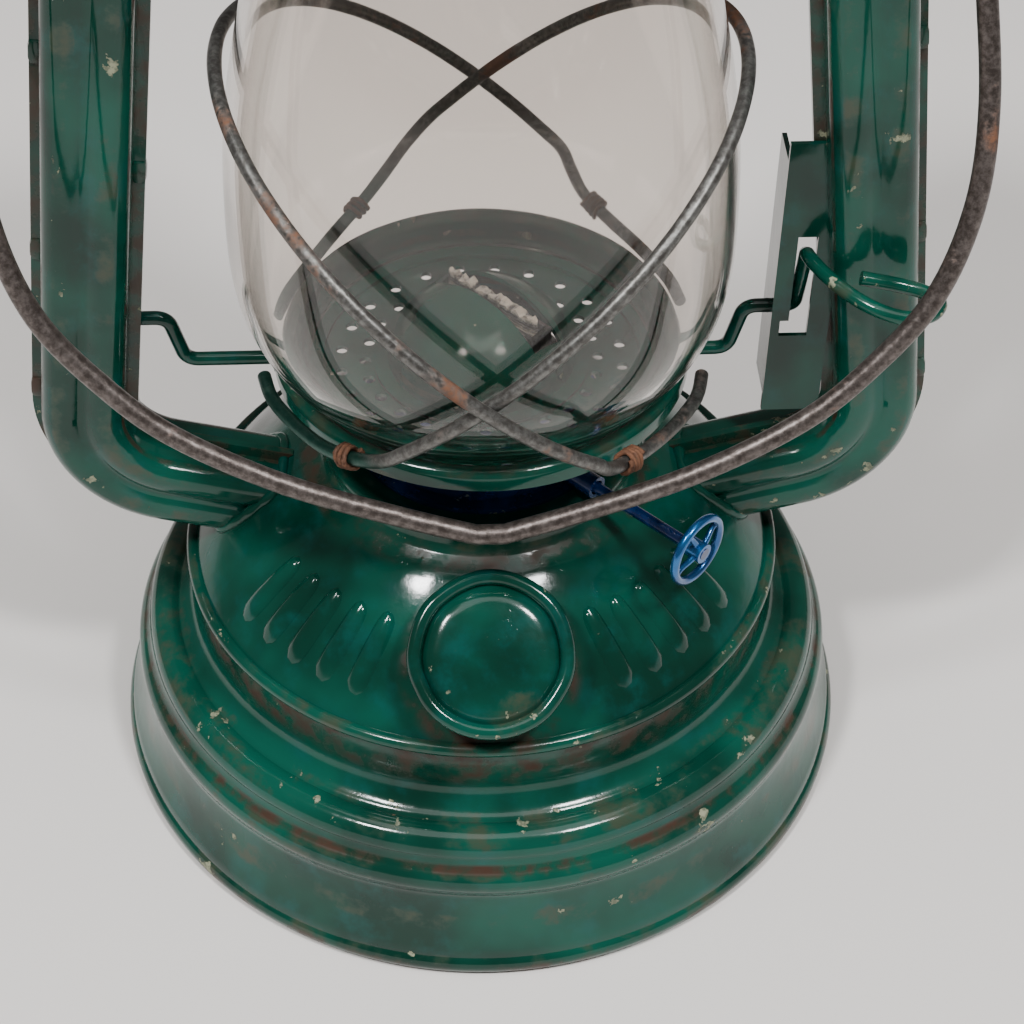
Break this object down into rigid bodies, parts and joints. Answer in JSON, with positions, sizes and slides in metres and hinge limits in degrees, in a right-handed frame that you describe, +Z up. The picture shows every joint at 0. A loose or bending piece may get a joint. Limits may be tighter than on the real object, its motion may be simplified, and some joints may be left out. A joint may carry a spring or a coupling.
{
  "type": "oil lamp",
  "caption": "Tubular hurricane lantern with a wide stepped fount, glass globe, crossed guard wires, lift lever, wick wheel, screw cap, sprung chimney and wire bail.",
  "frame": {"origin": "on the lamp's axis, in the plane of the surface that it stands on", "axes": "+Z up, -Y towards the side with the filler cap, +X towards the side tube with the lift lever"},
  "size_m": [0.1496, 0.132, 0.2688],
  "materials": {
    "enamel": "worn gloss teal enamel, rusty edges",
    "navy_enamel": "gloss navy enamel",
    "blue_metal": "metallic blue lacquer",
    "bare_steel": "dull drawn wire, rusty in places",
    "globe_glass": "clear blown glass",
    "wick_cotton": "woven, charred at the top",
    "gasket": "dull"
  },
  "bodies": {
    "lamp_frame": {"fount_base_plate": "enamel", "fount_skirt": "enamel", "fount_dome": "enamel", "filler_neck": "enamel", "burner_collar": "navy_enamel", "left_tube_front": "enamel", "left_tube_back": "enamel", "right_tube_front": "enamel", "right_tube_back": "enamel", "lever_bracket": "enamel", "crown_floor": "enamel", "crown_cover": "enamel", "chimney_spring": "bare_steel", "left_bail_ear": "enamel", "right_bail_ear": "enamel", "burner_body": "navy_enamel", "wick_tube": "bare_steel", "shaft_sleeve": "navy_enamel"},
    "cap_seal": {"cap_gasket": "gasket"},
    "screw_cap": {"filler_cap": "enamel"},
    "wick_gear": {"wick_shaft": "navy_enamel", "spur_wheels": "bare_steel", "wick_knob": "blue_metal"},
    "wick_strip": {"wick": "wick_cotton"},
    "globe_carriage": {"globe_carrier": "enamel", "perforated_plate": "enamel", "burner_cone": "enamel", "guard_wire_left": "bare_steel", "guard_wire_right": "bare_steel", "globe": "globe_glass"},
    "lift_lever": {"lift_wire": "enamel"},
    "lift_crank": {"lift_link": "enamel"},
    "chimney_top": {"globe_bell": "enamel", "chimney_tube": "enamel", "canopy_hood": "enamel", "hood_posts": "enamel", "top_ring": "bare_steel"},
    "carrying_bail": {"bail": "bare_steel"}
  },
  "joints": [
    {"name": "bail_swing", "type": "hinge", "parent": "lamp_frame", "child": "carrying_bail", "pos_m": [0, 0, 0.19], "axis": [-1, 0, 0], "range_deg": [0, 320]},
    {"name": "globe_lift", "type": "slide", "parent": "lamp_frame", "child": "globe_carriage", "axis": [0, 0, 1], "range_m": [0, 0.0067]},
    {"name": "lever_turn", "type": "hinge", "parent": "lamp_frame", "child": "lift_lever", "pos_m": [0.048, 0.003, 0.0879], "axis": [1, 0, 0], "range_deg": [0, 68.8]},
    {"name": "link_turn", "type": "hinge", "parent": "lamp_frame", "child": "lift_crank", "pos_m": [-0.055, 0.003, 0.0879], "axis": [1, 0, 0], "range_deg": [0, 68.8]},
    {"name": "top_lift", "type": "slide", "parent": "globe_carriage", "child": "chimney_top", "axis": [0, 0, 1], "range_m": [0, 0.0048], "stiffness_N_per_m": 250},
    {"name": "wick_turn", "type": "hinge", "parent": "lamp_frame", "child": "wick_gear", "pos_m": [-0.0007, -0.00071, 0.0684], "axis": [0.7133, -0.7009, 0], "range_deg": [-91, 181]},
    {"name": "wick_raise", "type": "slide", "parent": "lamp_frame", "child": "wick_strip", "axis": [0, 0, 1], "range_m": [-0.0039, 0.0078]},
    {"name": "cap_lift", "type": "slide", "parent": "lamp_frame", "child": "cap_seal", "axis": [0, -0.6561, 0.7547], "range_m": [0, 0.0031]},
    {"name": "cap_turn", "type": "hinge", "parent": "cap_seal", "child": "screw_cap", "pos_m": [0, -0.041, 0.0528], "axis": [0, -0.6561, 0.7547], "range_deg": [0, 540]}
  ],
  "couplings": [
    {"joint": "lever_turn", "follows": "globe_lift", "rad_per_m": 178.57},
    {"joint": "link_turn", "follows": "globe_lift", "rad_per_m": 178.57},
    {"joint": "cap_lift", "follows": "cap_turn", "m_per_rad": 0.00031831},
    {"joint": "wick_turn", "follows": "wick_raise", "rad_per_m": 400}
  ]
}
